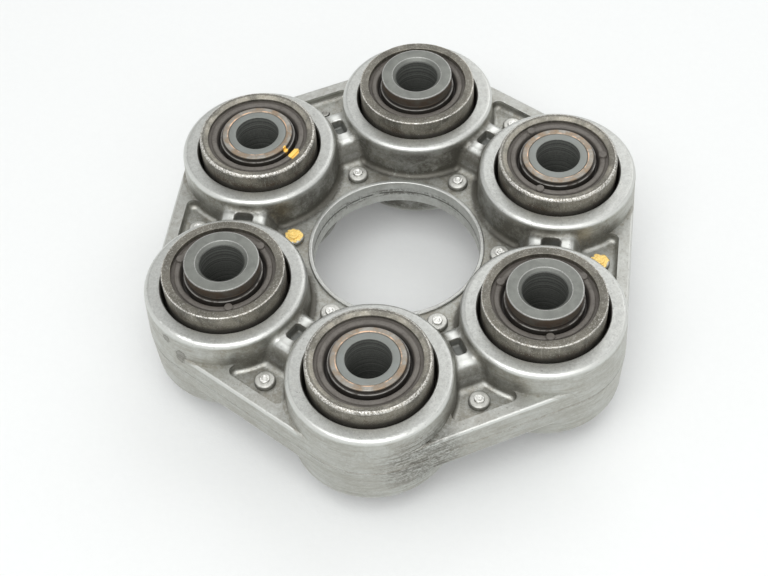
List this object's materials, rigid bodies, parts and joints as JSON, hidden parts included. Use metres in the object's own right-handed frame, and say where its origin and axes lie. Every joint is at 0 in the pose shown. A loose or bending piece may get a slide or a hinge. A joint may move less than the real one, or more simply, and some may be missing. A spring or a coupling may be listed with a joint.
{
  "type": "flexible disc coupling",
  "caption": "Flexible disc coupling that bolts between shaft flanges: riveted cast casings hold a ring of rubber-metal bushes, with flanged sleeves facing up and down in turn.",
  "frame": {"origin": "centre of the coupling, where its axis crosses the plane between the casings", "axes": "+Z along the coupling's axis, up in the picture; +Y from the centre to bush 1, the one at the back; bushes are numbered clockwise from above"},
  "size_m": [0.1322, 0.1456, 0.045],
  "materials": {
    "casing": "satin die-cast skin, worn bright on rims and shoulders, with brown-grey oily grime in its corners",
    "bush_can": "drawn steel with a brownish-grey patina and bright worn rims",
    "inner_ring": "steel with a dull copper-brown film",
    "sleeve": "matt grey phosphated steel with lighter edges",
    "rubber": "matt dark grey-brown moulded rubber",
    "rivet": "pressed steel with dull bright ends; two carry a dab of yellow marking paint"
  },
  "bodies": {
    "root": {"bush_can_1": "bush_can", "bush_can_2": "bush_can", "bush_can_3": "bush_can", "bush_can_4": "bush_can", "bush_can_5": "bush_can", "bush_can_6": "bush_can", "bush_inner_ring_1": "inner_ring", "bush_inner_ring_2": "inner_ring", "bush_inner_ring_3": "inner_ring", "bush_inner_ring_4": "inner_ring", "bush_inner_ring_5": "inner_ring", "bush_inner_ring_6": "inner_ring", "bush_rubber_1": "rubber", "bush_rubber_2": "rubber", "bush_rubber_3": "rubber", "bush_rubber_4": "rubber", "bush_rubber_5": "rubber", "bush_rubber_6": "rubber", "casing_lower": "casing", "casing_upper": "casing", "flanged_sleeve_1": "sleeve", "flanged_sleeve_2": "sleeve", "flanged_sleeve_3": "sleeve", "flanged_sleeve_4": "sleeve", "flanged_sleeve_5": "sleeve", "flanged_sleeve_6": "sleeve", "inner_rivet_1": "rivet", "inner_rivet_2": "rivet", "inner_rivet_3": "rivet", "inner_rivet_4": "rivet", "inner_rivet_5": "rivet", "inner_rivet_6": "rivet", "outer_rivet_1": "rivet", "outer_rivet_2": "rivet", "outer_rivet_3": "rivet", "outer_rivet_4": "rivet", "outer_rivet_5": "rivet", "outer_rivet_6": "rivet"}
  },
  "joints": []
}
